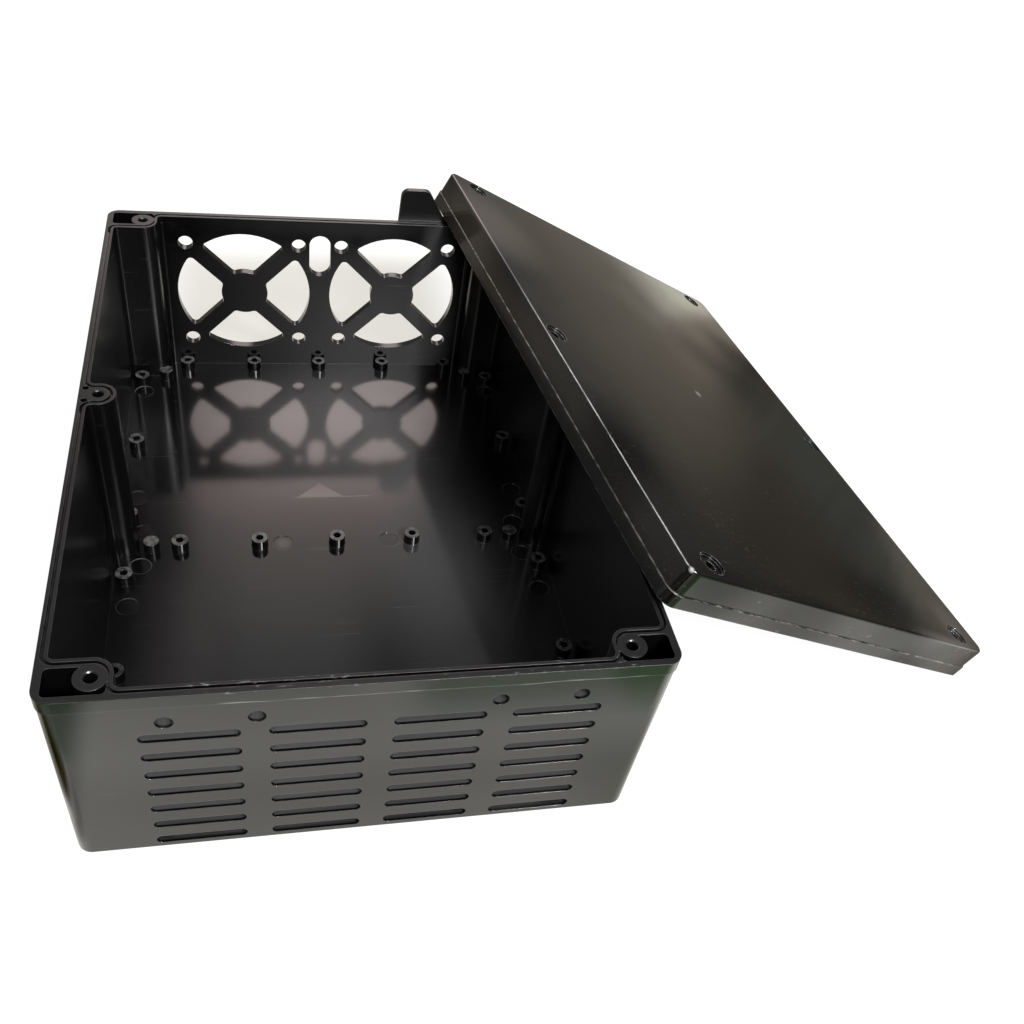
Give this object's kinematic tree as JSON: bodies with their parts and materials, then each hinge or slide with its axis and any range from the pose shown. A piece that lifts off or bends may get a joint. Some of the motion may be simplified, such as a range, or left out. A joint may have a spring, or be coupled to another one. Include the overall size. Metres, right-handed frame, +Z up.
{
  "type": "ventilated instrument case",
  "caption": "Black moulded plastic instrument case: deep open base with louvred front and fan grilles behind, its lid leaning on the side rim.",
  "frame": {"origin": "centre of the base's underside", "axes": "+Z up, +Y towards the fan wall, +X towards the side the lid leans on"},
  "size_m": [0.3467, 0.3038, 0.0959],
  "materials": {
    "base_plastic": "semi-gloss black moulded ABS",
    "lid_plastic": "semi-gloss black moulded ABS"
  },
  "bodies": {
    "root": {"base_housing": "base_plastic", "lid": "lid_plastic"}
  },
  "joints": []
}
